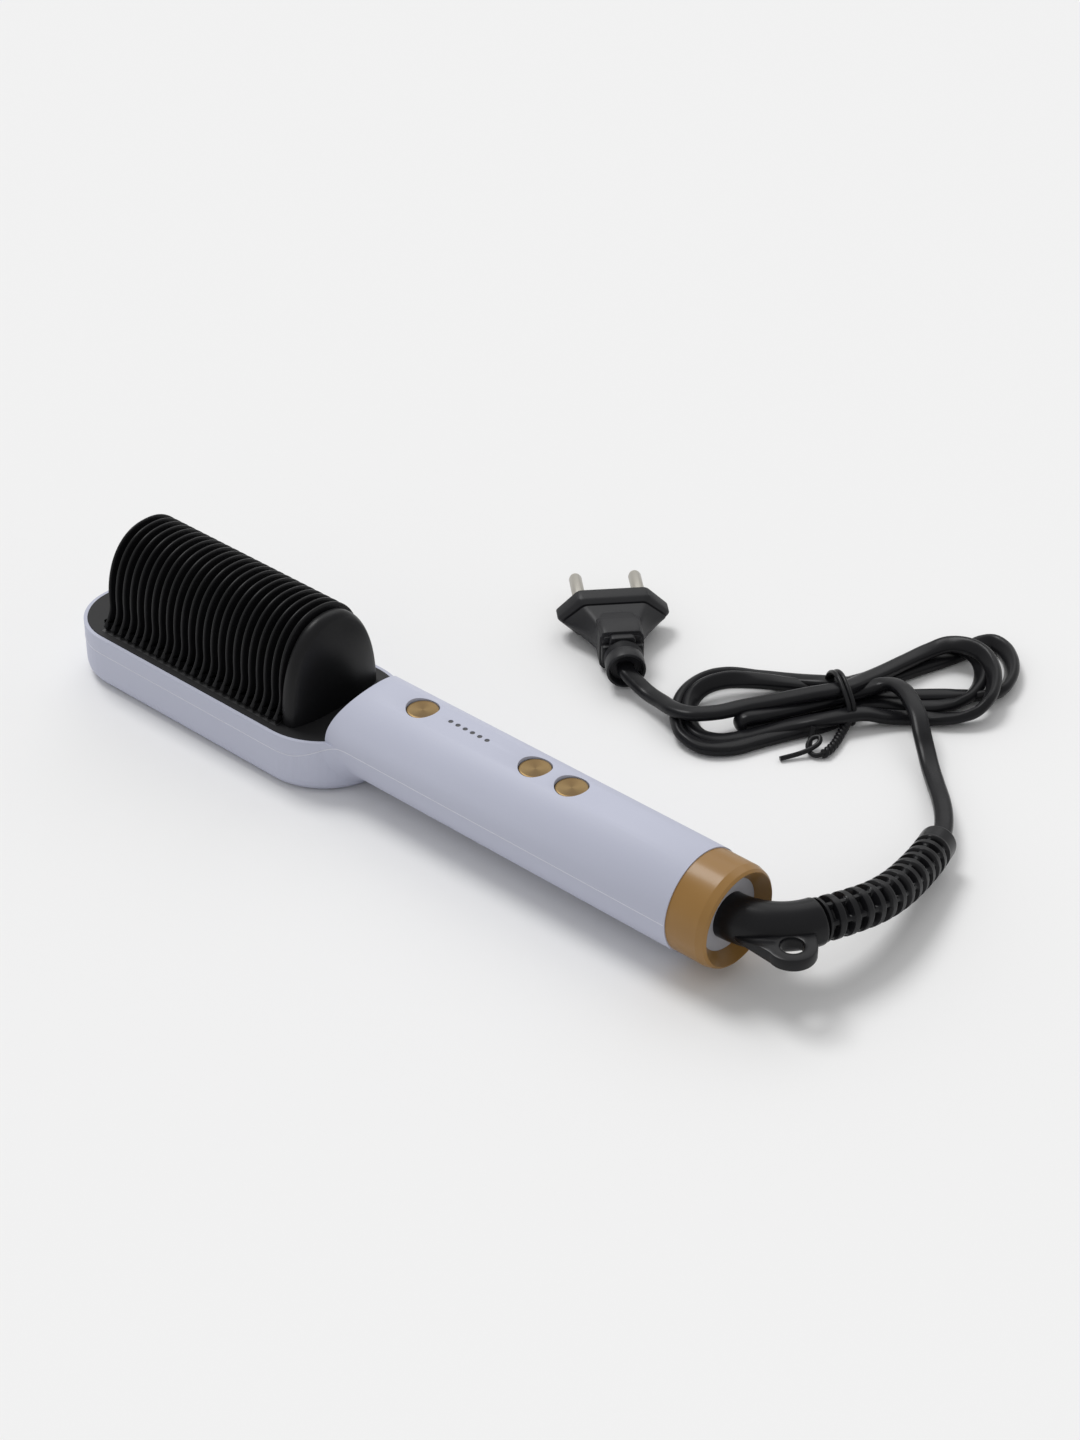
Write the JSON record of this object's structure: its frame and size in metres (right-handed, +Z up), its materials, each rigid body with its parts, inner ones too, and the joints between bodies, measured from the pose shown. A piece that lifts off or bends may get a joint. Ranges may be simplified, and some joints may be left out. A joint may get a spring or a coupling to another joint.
{
  "type": "electric hot comb",
  "caption": "Electric hot comb with a finned heated head, round handle with push buttons and indicators, swivelling cord elbow with a hanging eye, and a tied flat cord with a two-pin plug.",
  "frame": {"origin": "under the middle of the comb's length, on its centre plane, on the surface that the head rests on; the cord, its sleeve, its tie and its plug aren't counted", "axes": "+X along the handle from the head to the tail, +Z up out of the fins, +Y to the side that the cord's elbow bends to"},
  "size_m": [0.2681, 0.1986, 0.0483],
  "materials": {
    "pale_shell": "smooth satin gloss, pale lavender white",
    "dark_deck": "fine matte charcoal",
    "fin_coating": "satin black coating on aluminium",
    "plate_coating": "matte charcoal coating on aluminium",
    "ceramic": "unglazed ceramic white",
    "mica": "layered mica sheet",
    "spring_steel": "rolled spring steel",
    "bright_aluminium": "rolled aluminium sheet",
    "dark_bead": "epoxy bead",
    "red_lead": "silicone insulation",
    "blue_lead": "silicone insulation",
    "green_board": "solder mask",
    "screw_steel": "zinc-plated steel",
    "black_plastic": "moulded black plastic",
    "ochre_case": "moulded capacitor case",
    "led_body": "cast resin",
    "clear_plastic": "smoked clear light guide",
    "spun_gold": "spun face, bronze-gold anodised",
    "amber_gold": "lacquered amber gold",
    "grey_bush": "moulded grey acetal",
    "contact_brass": "turned brass",
    "cord_rubber": "satin black cord jacket",
    "tie_plastic": "plastic-coated wire",
    "plug_rubber": "fine matte moulded black",
    "pin_nickel": "nickel-plated brass"
  },
  "bodies": {
    "comb": {"upper_shell": "pale_shell", "lower_shell": "pale_shell", "comb_base": "dark_deck", "comb_fins": "fin_coating", "end_guard": "fin_coating", "heating_plate": "plate_coating", "heating_element": "ceramic", "insulation_sheet": "mica", "element_clamp": "spring_steel", "heat_shield": "bright_aluminium", "thermistor": "dark_bead", "thermal_fuse": "bright_aluminium", "heater_leads": "red_lead", "control_board": "green_board", "board_screws": "screw_steel", "triac": "black_plastic", "capacitor": "ochre_case", "tact_switches": "black_plastic", "indicator_leds": "led_body", "light_guide": "clear_plastic", "tail_ring": "amber_gold", "end_bush": "grey_bush", "contact_brushes": "contact_brass", "brush_holder": "ceramic", "mains_leads": "blue_lead", "shell_screws": "screw_steel"},
    "power_key": {"power_button": "spun_gold"},
    "minus_key": {"minus_button": "spun_gold"},
    "plus_key": {"plus_button": "spun_gold"},
    "swivel": {"swivel_elbow": "black_plastic", "swivel_clip": "spring_steel", "contact_rings": "contact_brass", "strain_relief": "cord_rubber", "cord_run": "cord_rubber", "cord_hank": "cord_rubber", "twist_tie": "tie_plastic", "plug_body": "plug_rubber", "plug_pins": "pin_nickel", "plug_grommet": "plug_rubber"}
  },
  "joints": [
    {"name": "power_press", "type": "slide", "parent": "comb", "child": "power_key", "axis": [0, 0, -1], "range_m": [0, 0.0006], "stiffness_N_per_m": 800},
    {"name": "minus_press", "type": "slide", "parent": "comb", "child": "minus_key", "axis": [0, 0, -1], "range_m": [0, 0.0006], "stiffness_N_per_m": 800},
    {"name": "plus_press", "type": "slide", "parent": "comb", "child": "plus_key", "axis": [0, 0, -1], "range_m": [0, 0.0006], "stiffness_N_per_m": 800},
    {"name": "cord_swivel", "type": "hinge", "parent": "comb", "child": "swivel", "pos_m": [0.0966, 0, 0.0177], "axis": [1, 0, 0], "continuous": true}
  ]
}
